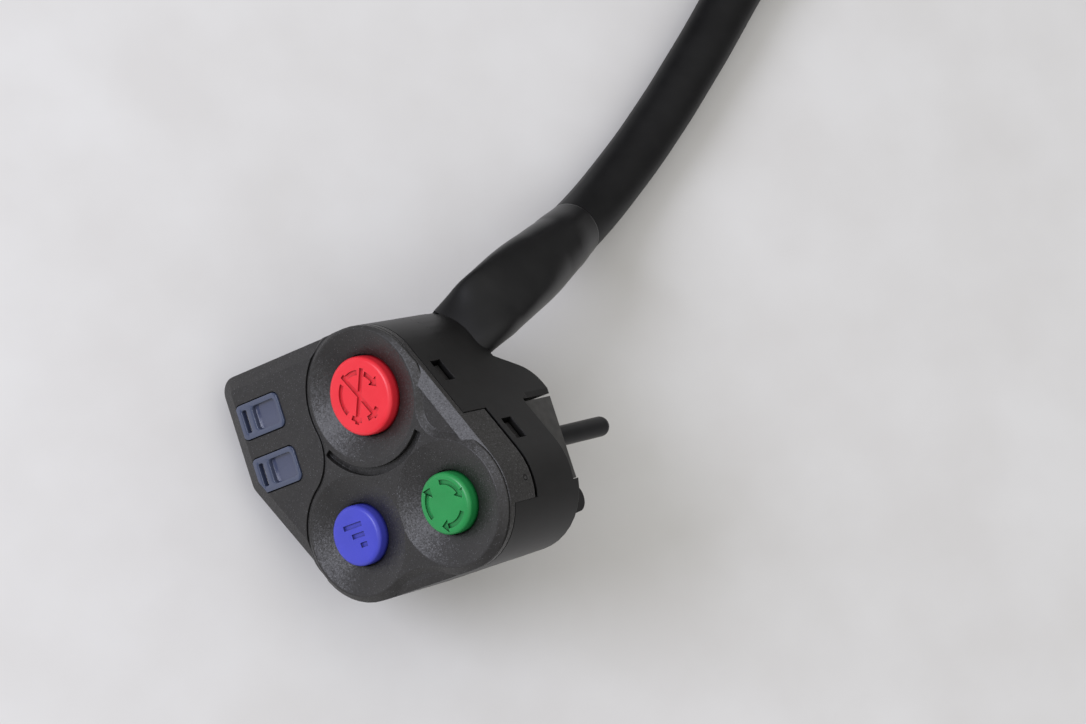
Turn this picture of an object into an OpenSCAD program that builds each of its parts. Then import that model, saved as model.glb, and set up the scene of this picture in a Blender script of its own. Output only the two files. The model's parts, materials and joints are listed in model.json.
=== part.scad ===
// Handlebar switch cluster: a left-hand pod with three thumb buttons, two
// indicator lamps, a clamp for the handlebar and its lead.
// The origin is on the handlebar axis, halfway along the clamp. +Y runs along
// the bar toward the lead. The pod lies on its clamp and on its lamp wing.

/* [Handlebar clamp] */
// Handlebar diameter
bar_d = 22.2; // [22:0.1:22.6]
// Gap between the bar and the clamp bore, on the radius
bar_gap = 0.05; // [0:0.01:0.1]
// Thickness of the clamp band
band_t = 2.5; // [2.2:0.1:3]
// Width of the clamp band along the bar
band_w = 15.8; // [13:0.2:16.4]
// Outer edge of the clamp tongue, from the bar axis
tongue_reach = 20; // [19.8:0.1:21]
// Height of the clamp tongue
tongue_h = 8; // [7.4:0.1:8.6]
// Gap left above the tongue for tightening
tongue_gap = 1; // [0.6:0.1:1.4]
// Clearance between the tongue and the lugs
lug_gap = 0.5; // [0.3:0.1:0.8]
// Diameter of the clamp stud
stud_d = 3.9; // [3.4:0.1:4.2]
// Stud axis from the bar axis
stud_reach = 15.8; // [15.6:0.1:16]
// Stud offset from the middle of the clamp
stud_off = 0.6; // [0:0.1:1]
// Length of the stud behind the case
stud_tail = 29; // [24:0.5:34]
// Width of the clamp nut across its flats
nut_af = 6; // [5.5:0.1:6.2]
// Thickness of the clamp nut
nut_t = 3.2; // [2.6:0.1:3.4]

/* [Case] */
// Depth of the case from the ring tops to its back
case_h = 20.8; // [20.6:0.1:22]
// Depth of the lamp wing from the ring tops to its back
wing_h = 12; // [11:0.1:13]
// Wall thickness of the case
wall_t = 2.2; // [2:0.1:2.4]
// Radius of the case round each button
boss_r = 12.6; // [12.2:0.1:13]
// Outer edge of the lamp wing, from the bar axis
wing_reach = 31; // [30:0.5:32]
// Corner radius of the lamp wing
wing_r = 3.2; // [2.8:0.1:3.6]
// Depth of the parting line below the ring tops
part_h = 2.4; // [2.3:0.1:2.6]
// Depth of the side skirt's lower edge below the ring tops
skirt_h = 8.6; // [8:0.1:9.2]
// Drop from the ring tops to the flat of the face
ring_h = 0.3; // [0.2:0.1:0.5]
// Depth of the pockets between the rings, below the flat of the face
pocket_h = 0.5; // [0.3:0.1:0.7]
// Width of the bevel round the face
bevel_w = 2.6; // [1.8:0.1:2.8]
// Drop of the bevel round the face
bevel_h = 1; // [0.6:0.1:1.2]
// Open gap of the parting line
part_gap = 0.2; // [0.1:0.05:0.3]
// Open gap below the side skirt
skirt_gap = 0.8; // [0.4:0.1:1]
// Length of a snap window
snap_w = 4.7; // [4:0.1:5]
// Height of a snap window
snap_h = 3; // [2.6:0.1:3.2]

/* [Buttons] */
// Diameter of the stop cap
stop_d = 14.4; // [13.6:0.1:14.8]
// Diameter of the two smaller caps
thumb_d = 11.2; // [10.6:0.1:11.6]
// Height of the caps above the ring tops
cap_rise = 0.6; // [0.4:0.1:1]
// Travel of a cap
cap_travel = 1.5; // [1:0.1:1.6]
// Radius of the edge of a cap
cap_round = 0.8; // [0.4:0.1:1]
// Depth of the dish round a cap
dish_h = 1.7; // [1.4:0.1:1.8]
// Clearance between a cap and its guide
cap_gap = 0.3; // [0.25:0.05:0.4]
// Diameter of a stem
stem_d = 5; // [4.6:0.1:5]
// Running clearance of a stem in its guide, on the radius
stem_gap = 0.06; // [0.03:0.01:0.1]
// Wire of a return spring
wire_d = 0.6; // [0.5:0.05:0.7]

/* [Lamps] */
// Length of a lens across the wing
lens_l = 10.8; // [10.2:0.1:11]
// Width of a lens along the bar
lens_w = 6.6; // [6.2:0.1:7.2]
// Distance between the two lenses
lens_pitch = 10.4; // [10:0.1:10.8]
// Depth of the window inside a lens
window_h = 1; // [0.8:0.1:1.4]

/* [Lead] */
// Width of the boot at the case
boot_w = 12.4; // [12:0.1:12.8]
// Thickness of the boot at the case
boot_t = 5.2; // [5:0.1:5.6]
// Diameter of the lead
lead_d = 11.2; // [11:0.1:11.2]
// Turns of the put-away coil
coil_turns = 1.2; // [1.15:0.01:1.25]
// Step from turn to turn of the coil
coil_step = 12.4; // [12.2:0.1:13]

/* [Hidden] */
$fn = 48;

// Small lap that makes two shapes of one piece join, and cuts run clear
lap = 0.1;
// Clearance of a piece that sits in another
slip = 0.1;
// Clearance of a piece that stays put in its seat
seat_gap = 0.05;
// Length of a cut that runs right through
cut_l = 40;

// Levels along the face normal, from the bar axis
bore_r = bar_d / 2 + bar_gap;
band_ro = bore_r + band_t;
back_z = bore_r + 0.05;
face_z = back_z + case_h;
flat_z = face_z - ring_h;
pocket_z = flat_z - pocket_h;
part_z = face_z - part_h;
skirt_z = face_z - skirt_h;
wing_z = face_z - wing_h;
dish_z = face_z - dish_h;
cap_z = face_z + cap_rise;
floor_z = back_z + wall_t;
wing_floor_z = wing_z + wall_t;

// Places of the buttons and of the wing corners on the face
stop_at = [1.7, 17.4];
mode_at = [-9.1, -6];
traction_at = [12.8, -6];
button_at = [stop_at, mode_at, traction_at];
cap_r = [stop_d / 2, thumb_d / 2, thumb_d / 2];
dish_r = [12, 11, 11.2];
rim_w = 0.3;
rim_r = [for (r = dish_r) r + rim_w];
boss_off = [0.6, 0];
boss_at = [for (b = button_at) b + boss_off];
wing_x = wing_r - wing_reach;
wing_top_y = boss_at[0].y + boss_r - wing_r;
wing_low_y = 9.8;

// The face outline runs round five discs, each [x, y, radius]
face_discs = [
  [boss_at[2].x, boss_at[2].y, boss_r],
  [boss_at[0].x, boss_at[0].y, boss_r],
  [wing_x, wing_top_y, wing_r],
  [wing_x, wing_low_y, wing_r],
  [boss_at[1].x, boss_at[1].y, boss_r]
];
body_discs = [face_discs[0], face_discs[1], face_discs[4]];

// The pod leans about the bar until the wing's back edge meets the table
rest_lean = atan2(wing_z, wing_reach) + asin(band_ro / norm([wing_reach, wing_z]));
table_z = -band_ro;

// Straight side wall from the stop button to the traction button
wall_dir = (traction_at - stop_at) / norm(traction_at - stop_at);
wall_angle = atan2(wall_dir.x, -wall_dir.y);
skirt_from = 16.3;
skirt_to = -17.5;
lip_t = wall_t / 2;
snap_at = [[6.4, face_z - 6.1], [21.4, skirt_z - 3.7]];

// The rings stand on one raised shape with hollow blends, each [button, button, radius]
blends = [[0, 2, 5.4], [2, 1, 16], [1, 0, 10]];
flank_run = 1.5;
flank_z = pocket_z - 0.2;
flank_w = flank_run * (face_z - flank_z);
groove_off = 0.55;
groove_w = 0.5;
groove_h = 0.45;

// Crescent channel below the stop ring
crescent_r = [13, 14.5];
crescent_h = 1.1;
crescent_from = -148;
crescent_sweep = 104;

// Signs cut in the caps
sign_h = 0.4;
sign_t = 0.9;
arrow = [1.4, 1.2];

// Guide cups below the dishes
cup_t = 1.4;
cup_floor_z = dish_z - 4.7;
cup_floor_t = 1.6;
cup_low_z = cup_floor_z - cup_floor_t;
stem_r = stem_d / 2;
clip_t = 0.6;
clip_z = cup_low_z - slip - clip_t;
stem_low_z = clip_z - 0.5;
tip_r = 1.5;
tip_l = 1.5;
skirt_low_z = cup_floor_z + cap_travel + 0.5;
cap_wall = 1.1;
spring_top_z = cap_z - 2;
spring_r = stem_r + 0.6 + wire_d / 2;

// Clips in the stem grooves, and wiper seals in the guide grooves
clip_w = 1.6;
clip_mouth = 1.8;
clip_depth = 0.5;
seal_z = dish_z - 1.6;
seal_h = 0.8;
seal_depth = 0.7;
seal_gap = 0.08;

// Circuit board and its switches
switch_top_z = stem_low_z - cap_travel - 0.3;
board_t = 1.6;
switch_s = 6.2;
switch_h = 2.4;
well_floor = 0.7;
well_gap = 0.3;
board_z = switch_top_z - switch_h - board_t;
board_inset = 4.5;
post_r = 2.4;
board_screw_r = 0.9;
board_screw_z = floor_z + 0.8;
board_head_r = 1.8;
board_head_h = 1.2;
post_at = [[2.3, 23.6], [-14.6, -6], [19.5, -6]];

// Lamps
lens_edge = 7.9;
lens_x = lens_edge - wing_reach;
lens_y = 10.6;
lens_flange = 0.45;
lens_inset = wall_t + 0.5;
lens_gap = 0.2;
lens_top = flat_z + 0.2;
window = [5.9, 4.7];
window_off = 1.65;
slot = [1.2, 4.4];
slot_off = -3.4;
slot_h = 1.2;
lens_at = [[lens_x, lens_y + lens_pitch], [lens_x, lens_y]];
lamp_board_t = 1.2;
lamp_board_l = 10;
lamp_board_run = 6;
led_size = [3.2, 2.8];
led_h = 1.9;

// Case screws, each [x, y, back level]
screw_r = 1.1;
screw_head_r = 2.2;
screw_head_h = 1.1;
screw_sink = 0.5;
screw_post_r = 2.3;
screw_bite = 0.02;
screw_hex_r = 1;
screw_hex_h = 0.6;
screw_l = wall_t + 5;
screw_at = [[-13, 24.8, wing_z], [9.5 - wing_reach, 3.8, wing_z], [2.5, -13.6, back_z]];

// Clamp lugs, as [y, z] outlines seen along the tongue
slot_half = band_w / 2 + lug_gap;
tongue_top = back_z - tongue_gap;
tongue_low = tongue_top - tongue_h;
stud_head_r = 3;
stud_head_h = 1.4;
stud_fit = 0.02;
stud_boss_r = 3.6;
stud_boss_z = floor_z + 1;
nut_fit = 0.03;
nut_sink = 0.25;
saddle_half = slot_half + 6;
relief = 0.3;
hook_x = -band_ro - 0.3;
hook_z = tongue_low + tongue_h / 2;
bridge_t = 2.6;

// Foot of the case beside the bar, where the lead's boot begins
foot_h = 1.5;
foot_z = back_z - foot_h;
foot_x = 5.8;

// Round corners of the two lugs, and the slanted side of the lug next to the boot, as [y, z]
lug_r = 5.1;
lug_mid = [slot_half + 2.2, tongue_low + lug_r];
far_lug_r = 2.6;
far_lug_mid = [-slot_half - 0.5 - far_lug_r, tongue_low - 0.4 + far_lug_r];
lug_side = [[slot_half + 6.9, tongue_low + 3], [slot_half + 10.4, back_z + lap]];
lug_share = (foot_z - lug_side[0].y) / (lug_side[1].y - lug_side[0].y);
lug_foot_y = lug_side[0].x + lug_share * (lug_side[1].x - lug_side[0].x);

// Boot: its middle line from the foot to the lead, and its seat for the lead
boot_turn = 35;
boot_swell = 0.9;
boot_route = [
  [10.1, lug_foot_y + 3 * slip + boot_w / 2 * cos(boot_turn), foot_z], [13.5, 25.9, 6.2], [14.9, 27.9, 2.5],
  [15.5, 29.6, -1.3], [15.8, 31.1, -5.2], [16, 32.4, -9], [16, 33.6, -12.6], [16, 35, -16.4],
  [16, 36.4, -20.2], [16.2, 37.9, -23.9], [16.4, 39.3, -27.4]
];
boot_round_at = 8;
boot_wall = 0.6;

// Wires inside the case, from the board through a slanted hole to the boot
wire_r = 0.9;
wire_hole_r = wire_r + 0.5;
boot_bore_r = wire_r + 0.7;
wire_hole = [[7.6, 21, 14.6], [11, 23.5, 9.3]];
function along_hole(f) = wire_hole[0] + f * (wire_hole[1] - wire_hole[0]);
boot_bore = concat([along_hole(0.8), along_hole(1)], [for (i = [1 : boot_round_at]) boot_route[i]]);
wire_route = concat(
  [[8, 20.2, board_z], [8, 20.2, board_z - 1.5], along_hole(0.1), along_hole(0.5), along_hole(1)],
  [for (i = [1 : boot_round_at - 1]) boot_route[i]],
  [[16, 36.2, -19.7]]
);

// Route of the lead, on the table
lead_r = lead_d / 2;
tie_t = 1;
tie_w = 6;
tie_turn = 0.04;
tie_gap = 1.6;
lead_z = table_z + lead_r;
coil_z = lead_z + tie_t + slip;
coil_at = [76.5, 163];
coil_r0 = 68;
coil_from = -48.6;
coil_draw = 9;
coil_draw_from = 0.85;
coil_rings = 24;
sleeve_route = [
  [25.7, 36.4, 1.3], [32, 39.4, -2.6], [38.5, 42.9, -5.5],
  [45.5, 47.3, -7.3], [53, 52.5, lead_z], [57.8, 56.2, lead_z], [62.8, 60.2, lead_z],
  [67.5, 64.2, lead_z], [72.3, 68.3, lead_z], [77, 72.5, lead_z], [81.6, 76.7, lead_z],
  [89, 83.3, lead_z + 0.2], [96, 89.5, lead_z + 0.6], [103, 95.7, lead_z + 1.1]
];

function unit(v) = v / norm(v);

// Outward normal of the straight run between two discs of an outline
function run_normal(a, b) =
  let (d = [b.x - a.x, b.y - a.y])
  atan2(d.y, d.x) - 90 + asin((a.z - b.z) / norm(d));

// Arc of one disc of an outline, between the runs on either side of it
function disc_arc(before, disc, after, inset) =
  let (
    a0 = run_normal(before, disc),
    turn = run_normal(disc, after) - a0,
    sweep = turn < 0 ? turn + 360 : turn,
    steps = ceil(sweep / 9)
  )
  [for (i = [0 : steps])
    let (a = a0 + sweep * i / steps)
    [disc.x + (disc.z - inset) * cos(a), disc.y + (disc.z - inset) * sin(a)]];

function disc_outline(discs, inset) =
  let (n = len(discs))
  [for (i = [0 : n - 1])
    each disc_arc(discs[(i + n - 1) % n], discs[i], discs[(i + 1) % n], inset)];

// Middle of the circle that blends the rims of two buttons
function blend_at(b) =
  let (
    from = button_at[b[0]], to = button_at[b[1]],
    d = norm(to - from), u = (to - from) / d,
    ra = rim_r[b[0]] + b[2], rb = rim_r[b[1]] + b[2],
    s = (d * d + ra * ra - rb * rb) / (2 * d)
  )
  from + s * u + sqrt(ra * ra - s * s) * [-u.y, u.x];

// Sweep of a round section along points
function heading(p, i) = unit(p[min(i + 1, len(p) - 1)] - p[max(i - 1, 0)]);
function section(c, t, side, ru, rv, sides) =
  let (u = unit(cross(t, side)), v = cross(u, t))
  [for (k = [0 : sides - 1])
    c + ru * cos(360 * k / sides) * u + rv * sin(360 * k / sides) * v];
function skin(rings, sides) = [
  [for (k = [sides - 1 : -1 : 0]) k],
  for (i = [0 : rings - 2], k = [0 : sides - 1])
    let (a = i * sides + k, b = i * sides + (k + 1) % sides)
    each [[a, b, b + sides], [a, b + sides, a + sides]],
  [for (k = [0 : sides - 1]) (rings - 1) * sides + k]
];

// Put-away coil: a flat spiral whose end draws in to the connector
function coil_r(t) =
  coil_r0 - coil_step * t
  - coil_draw * pow(max(0, t - coil_draw_from) / (coil_turns - coil_draw_from), 2);
function coil_point(t) =
  let (a = coil_from + 360 * t)
  [coil_at.x + coil_r(t) * cos(a), coil_at.y + coil_r(t) * sin(a), coil_z];
function coil_heading(t) = unit(coil_point(t + 0.001) - coil_point(t - 0.001));
coil_steps = ceil(coil_rings * coil_turns);
coil_turn_points = [for (i = [0 : coil_steps]) coil_point(coil_turns * i / coil_steps)];
coil_start_dir = coil_heading(0);
coil_end_dir = coil_heading(coil_turns);
coil_path = concat(
  [coil_turn_points[0] - lead_d * coil_start_dir],
  coil_turn_points,
  [coil_turn_points[coil_steps] + lead_d * coil_end_dir]
);
coil_end = coil_path[len(coil_path) - 1];
sleeve_path = concat(
  sleeve_route,
  [coil_path[0] - lead_d / 2 * coil_start_dir, coil_path[0]]
);
coil_gap = min([
  for (i = [0 : len(coil_path) - 1], j = [0 : len(coil_path) - 1])
  if (j - i > coil_rings / 2) norm(coil_path[i] - coil_path[j]) - lead_d
]);
echo(coil_gap = coil_gap);

// Connector on the end of the lead, standing on the table
seal_l = 5.5;
plug_l = 18;
plug_w = 12.6;
plug_h = 2 * (coil_z - table_z - slip);
latch = [14, 6, 1.4];
latch_from = 6;
collar = [3, 0.8];
collar_from = 1;
pin_pitch = 3.8;
pin_at = [for (x = [-1 : 1], z = [-0.5, 0.5]) pin_pitch * [x, z]];
pin_hole = [2.6, 1.8];
pin_size = [1.8, 0.8];
pin_l = 6;

module place() {
  rotate([0, -rest_lean, 0]) children();
}

module outline(inset = 0) {
  polygon(disc_outline(face_discs, inset));
}

module body_outline(inset = 0) {
  polygon(disc_outline(body_discs, inset));
}

module slab(z0, z1) {
  translate([0, 0, z0]) linear_extrude(z1 - z0) children();
}

module rod(a, b, r) {
  v = b - a;
  translate(a)
    rotate([0, acos(v.z / norm(v)), atan2(v.y, v.x)])
      cylinder(h = norm(v), r = r);
}

module tube(path, r, sides, side = [0, 0, 1]) {
  polyhedron(
    points = [for (i = [0 : len(path) - 1])
      each section(path[i], heading(path, i), side, r, r, sides)],
    faces = skin(len(path), sides)
  );
}

module rounded_rect(l, w, r) {
  square([l - 2 * r, w], center = true);
  square([l, w - 2 * r], center = true);
  for (x = [-1, 1], y = [-1, 1])
    translate([x * (l / 2 - r), y * (w / 2 - r)]) circle(r = r);
}

// A [y, z] outline stretched along x
module prism_x(outline_yz, x0, x1) {
  translate([x0, 0, 0]) rotate([90, 0, 90]) linear_extrude(x1 - x0) polygon(outline_yz);
}

// Places a piece on the side wall, a run from the stop button, with x outward
module on_wall(run, z) {
  translate([boss_at[0].x + wall_dir.x * run, boss_at[0].y + wall_dir.y * run, z])
    rotate([0, 0, wall_angle])
      translate([boss_r, 0, 0]) children();
}

// Piece of the wall line that the side skirt takes
module skirt_zone(grow = 0) {
  far = 30;
  wall_n = [cos(wall_angle), sin(wall_angle)];
  start = boss_at[0] + wall_dir * (skirt_from - grow);
  edge = skirt_to - grow;
  polygon([
    start, start + far * wall_n,
    boss_at[2] + far * [1, 0.2],
    boss_at[2] + far * [cos(edge), sin(edge)],
    boss_at[2]
  ]);
}

module dish(i) {
  low_r = cap_r[i] + cap_gap + lap;
  run = (dish_r[i] - low_r) / dish_h;
  translate([button_at[i].x, button_at[i].y, dish_z])
    cylinder(h = dish_h + lap, r1 = low_r, r2 = dish_r[i] + run * lap);
}

module ring_boss(i) {
  translate([button_at[i].x, button_at[i].y, flank_z])
    cylinder(h = face_z - flank_z, r1 = rim_r[i] + flank_w, r2 = rim_r[i]);
}

module ring_blend(b) {
  c = blend_at(b);
  difference() {
    slab(flank_z, face_z) polygon([button_at[b[0]], c, button_at[b[1]]]);
    translate([c.x, c.y, flank_z]) cylinder(h = face_z - flank_z, r1 = b[2] - flank_w, r2 = b[2]);
  }
}

// Outline of the raised shape, grown past its rims
module raised_outline(grow) {
  for (i = [0 : 2]) translate(button_at[i]) circle(r = rim_r[i] + grow);
  for (b = blends) difference() {
    polygon([button_at[b[0]], blend_at(b), button_at[b[1]]]);
    translate(blend_at(b)) circle(r = b[2] - grow);
  }
}

// Fine groove where the wing meets the raised shape
module wing_groove() {
  far = 60;
  edge = run_normal(face_discs[3], face_discs[4]);
  slab(flat_z - groove_h, face_z) intersection() {
    difference() {
      raised_outline(groove_off + groove_w);
      raised_outline(groove_off);
    }
    polygon([
      stop_at + [0, far], stop_at, mode_at, mode_at + far * [cos(edge), sin(edge)],
      [-far, -far], [-far, far]
    ]);
  }
}

// Pocket beside a straight side of the face, between two of its discs
module side_pocket(a, b, w) {
  n = run_normal(b, a);
  out = w * [cos(n), sin(n)];
  slab(pocket_z, face_z + lap)
    polygon([[a.x, a.y], [a.x, a.y] + out, [b.x, b.y] + out, [b.x, b.y]]);
}

module guide_cup(i) {
  translate([button_at[i].x, button_at[i].y, cup_low_z])
    cylinder(h = dish_z - cup_low_z, r = cap_r[i] + cap_gap + cup_t);
}

module guide_bore(i) {
  translate([button_at[i].x, button_at[i].y, 0]) {
    translate([0, 0, cup_floor_z])
      cylinder(h = cap_z - cup_floor_z, r = cap_r[i] + cap_gap);
    translate([0, 0, cup_low_z - lap])
      cylinder(h = cup_floor_t + 2 * lap, r = stem_r + stem_gap);
    translate([0, 0, seal_z])
      cylinder(h = seal_h, r = cap_r[i] + cap_gap + seal_depth);
  }
}

module snap_arm(at) {
  arm_t = 1.2;
  low = at[1] - snap_h / 2 - 0.6;
  on_wall(at[0], 0) {
    translate([-wall_t - slip - arm_t, -snap_w / 2 + 0.5, low])
      cube([arm_t, snap_w - 1, part_z + lap - low]);
    translate([-wall_t - slip - lap, -snap_w / 2 + 0.5, at[1] - snap_h / 2 + 0.3])
      cube([wall_t + slip - 0.9, snap_w - 1, snap_h - 0.6]);
  }
}

module front_case() {
  color([0.16, 0.16, 0.17]) place() difference() {
    union() {
      intersection() {
        slab(part_z, face_z) outline();
        union() {
          difference() {
            hull() {
              slab(part_z, flat_z - bevel_h) outline();
              slab(flat_z - lap, flat_z) outline(bevel_w);
            }
            side_pocket(face_discs[1], face_discs[0], boss_r - bevel_w);
            side_pocket(face_discs[0], face_discs[4], boss_r);
          }
          for (i = [0 : 2]) ring_boss(i);
          for (b = blends) ring_blend(b);
          slab(part_z, face_z) polygon(button_at);
        }
      }
      slab(skirt_z, part_z + lap) intersection() {
        difference() {
          outline();
          outline(lip_t - slip);
        }
        skirt_zone();
      }
      for (i = [0 : 2]) guide_cup(i);
      for (at = snap_at) snap_arm(at);
      for (s = screw_at)
        slab(s.z + wall_t, part_z + lap) translate([s.x, s.y]) circle(r = screw_post_r);
    }
    for (i = [0 : 2]) {
      dish(i);
      guide_bore(i);
    }
    for (i = [0 : 1]) slab(part_z - lap, face_z) lens_shape(i, lens_gap);
    for (s = screw_at)
      slab(s.z + wall_t - lap, part_z - 1) translate([s.x, s.y]) circle(r = screw_r + screw_bite);
    crescent();
    wing_groove();
    mould_mark();
  }
}

// Shallow ring left in the skirt by the mould
module mould_mark() {
  depth = 0.2;
  low = 1.8;
  translate([boss_at[2].x + boss_r - depth, boss_at[2].y, skirt_z + low]) rotate([0, 90, 0]) difference() {
    cylinder(h = 1, r = 0.6);
    translate([0, 0, -lap]) cylinder(h = 2, r = 0.35);
  }
}

module crescent() {
  translate([stop_at.x, stop_at.y, face_z - crescent_h])
    rotate([0, 0, crescent_from])
      rotate_extrude(angle = crescent_sweep)
        translate([crescent_r[0], 0]) square([crescent_r[1] - crescent_r[0], 2 * crescent_h]);
}

module rear_case() {
  color([0.14, 0.14, 0.15]) place() {
    difference() {
      union() {
        slab(back_z, wing_z + lap) body_outline();
        slab(wing_z, part_z - part_gap) outline();
        case_foot();
        clamp_lugs();
        hook_jaw();
      }
      slab(floor_z, wing_z + lap) body_outline(wall_t);
      difference() {
        slab(wing_z, part_z + lap) outline(wall_t);
        slab(wing_z - lap, wing_floor_z) difference() {
          outline();
          body_outline(wall_t);
        }
      }
      slab(part_z - 1, part_z) outline(lip_t);
      slab(skirt_z - skirt_gap, part_z) difference() {
        skirt_zone(part_gap);
        outline(lip_t);
      }
      for (at = snap_at)
        on_wall(at[0], at[1])
          cube([4 * wall_t, snap_w, snap_h], center = true);
      rotate([90, 0, 0]) cylinder(h = 2 * saddle_half, r = bore_r, center = true, $fn = 96);
      translate([0, saddle_half, 0]) rotate([-90, 0, 0])
        cylinder(h = cut_l, r = bore_r + relief, $fn = 96);
      translate([stud_reach, stud_off, 0]) cylinder(h = cut_l, d = stud_d + 2 * stud_fit);
      for (s = screw_at) {
        slab(s.z - lap, s.z + wall_t + lap) translate([s.x, s.y]) circle(r = screw_r + slip);
        slab(s.z - lap, s.z + screw_sink + screw_head_h)
          translate([s.x, s.y]) circle(r = screw_head_r + slip);
      }
      rod(wire_hole[0], along_hole(1.4), wire_hole_r);
    }
    for (p = post_at) difference() {
      slab(floor_z - lap, board_z) translate(p) circle(r = post_r);
      slab(board_screw_z - 2 * slip, board_z + lap) translate(p) circle(r = board_screw_r + seat_gap);
    }
    difference() {
      slab(floor_z - lap, stud_boss_z) translate([stud_reach, stud_off]) circle(r = stud_boss_r);
      translate([stud_reach, stud_off, 0]) cylinder(h = cut_l, d = stud_d + 2 * stud_fit);
    }
  }
}

// Lugs on either side of the clamp tongue
module clamp_lugs() {
  top = back_z + lap;
  intersection() {
    prism_x(concat(
      [[slot_half, top], [slot_half, tongue_low]],
      [for (a = [-90 : 6 : -30]) lug_mid + lug_r * [cos(a), sin(a)]],
      lug_side
    ), bore_r / 2, tongue_reach);
    slab(tongue_low - lap, top + lap) body_outline();
  }
  prism_x(concat(
    [[far_lug_mid.x + far_lug_r, top]],
    [for (a = [0 : -10 : -180]) far_lug_mid + far_lug_r * [cos(a), sin(a)]],
    [[-saddle_half, tongue_low + 6], [-saddle_half, top]]
  ), bore_r / 2, tongue_reach);
}

// Jaw on the far side of the bar, with a bridge that the band hooks over
module hook_jaw() {
  low = 1.5;
  outer = -hook_x + bridge_t;
  difference() {
    translate([-outer, -saddle_half, low])
      cube([outer - bore_r / 2, 2 * saddle_half, back_z + lap - low]);
    translate([hook_x, -slot_half, low - lap]) cube([-hook_x, 2 * slot_half, back_z - low + lap]);
    translate([-outer - lap, -slot_half, hook_z]) cube([outer, 2 * slot_half, back_z - hook_z]);
  }
}

// Step on the back of the case, beside the bar and clear of the tongue
module case_foot() {
  slab(foot_z, back_z + lap) difference() {
    intersection() {
      body_outline();
      translate([foot_x, -50]) square(100);
    }
    translate([0, -slot_half]) square([50, 2 * slot_half]);
  }
}

module case_gasket() {
  color([0.05, 0.05, 0.05]) place() slab(part_z - 1, part_z) difference() {
    outline(lip_t + slip / 2);
    outline(wall_t);
  }
}

module case_screws() {
  color([0.35, 0.35, 0.36]) place() for (s = screw_at) translate([s.x, s.y, s.z + screw_sink]) {
    difference() {
      cylinder(h = screw_head_h, r = screw_head_r);
      translate([0, 0, -lap]) cylinder(h = screw_hex_h + lap, r = screw_hex_r, $fn = 6);
    }
    cylinder(h = screw_l, r = screw_r);
  }
}

// Cap with a round edge, a hollow for its spring and a stem down to its switch
module cap(i) {
  r = cap_r[i];
  edge = [for (a = [90 : -15 : 0])
    [r - cap_round + cap_round * cos(a), cap_z - cap_round + cap_round * sin(a)]];
  translate([button_at[i].x, button_at[i].y, 0]) rotate_extrude() polygon(concat(
    [[0, cap_z]], edge,
    [[r, skirt_low_z], [r - cap_wall, skirt_low_z], [r - cap_wall, spring_top_z],
     [stem_r, spring_top_z], [stem_r, clip_z + clip_t + seat_gap],
     [stem_r - clip_depth, clip_z + clip_t + seat_gap],
     [stem_r - clip_depth, clip_z - seat_gap], [stem_r, clip_z - seat_gap], [stem_r, stem_low_z],
     [tip_r, stem_low_z], [tip_r, stem_low_z - tip_l], [0, stem_low_z - tip_l]]
  ));
}

// A stroke of a sign, between two points of a cap's top
module stroke(a, b) {
  v = b - a;
  translate(a) rotate([0, 0, atan2(v.y, v.x)]) translate([0, -sign_t / 2]) square([norm(v), sign_t]);
}

module arc_stroke(r, from, sweep) {
  rotate([0, 0, from]) rotate_extrude(angle = sweep)
    translate([r - sign_t / 2, 0]) square([sign_t, 2]);
}

module arrow_tip(r, a, turn) {
  translate([r * cos(a), r * sin(a)]) rotate([0, 0, a + 90 * turn])
    polygon([[0, -arrow.y], [arrow.x, 0], [0, arrow.y]]);
}

module on_cap(i) {
  translate([button_at[i].x, button_at[i].y, cap_z - sign_h]) children();
}

// Broken ring with an arrow, crossed out
module stop_sign() {
  r = cap_r[0] * 0.6;
  reach = cap_r[0] * 0.72;
  on_cap(0) {
    for (a = [-28, 28]) linear_extrude(2) stroke(reach * [sin(a), -cos(a)], reach * [-sin(a), cos(a)]);
    arc_stroke(r, 135, 75);
    arc_stroke(r, 225, 30);
    arc_stroke(r, 275, 42);
    arc_stroke(r, 75, 40);
    arc_stroke(r, 25, 28);
    linear_extrude(2) arrow_tip(r, 25, -1);
  }
}

// Three bars that rise
module mode_sign() {
  on_cap(1) for (i = [-1 : 1]) linear_extrude(2)
    stroke([2.2, 1.9 * i], [0.6 - 1.4 * (i + 1), 1.9 * i]);
}

// Three arrows that chase each other
module traction_sign() {
  r = cap_r[2] * 0.7;
  on_cap(2) for (a = [20, 140, 260]) {
    arc_stroke(r, a, 66);
    linear_extrude(2) arrow_tip(r, a, -1);
  }
}

module clip(i) {
  translate([button_at[i].x, button_at[i].y, clip_z]) difference() {
    cylinder(h = clip_t, r = stem_r + clip_w);
    translate([0, 0, -lap]) cylinder(h = clip_t + 2 * lap, r = stem_r - clip_depth + seat_gap);
    translate([0, -clip_mouth / 2, -lap]) cube([stem_r + 2 * clip_w, clip_mouth, clip_t + 2 * lap]);
  }
}

// Return spring with closed ends, round the stem
module spring(i) {
  turns = 4;
  rings = 10;
  low = cup_floor_z + wire_d / 2 + 0.05;
  high = spring_top_z - wire_d / 2 - 0.05;
  path = [for (k = [0 : turns * rings])
    let (a = 360 * k / rings)
    [button_at[i].x + spring_r * cos(a), button_at[i].y + spring_r * sin(a),
     low + (high - low) * k / (turns * rings)]];
  tube(path, wire_d / 2, 6);
}

module switch(i) {
  translate([button_at[i].x, button_at[i].y, board_z + board_t]) difference() {
    translate([-switch_s / 2, -switch_s / 2, 0]) cube([switch_s, switch_s, switch_h]);
    translate([0, 0, well_floor]) cylinder(h = switch_h, r = tip_r + well_gap);
  }
}

module stop_cap() {
  color([0.85, 0.12, 0.15]) place() difference() {
    cap(0);
    stop_sign();
  }
}

module mode_cap() {
  color([0.2, 0.22, 0.75]) place() difference() {
    cap(1);
    mode_sign();
  }
}

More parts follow.
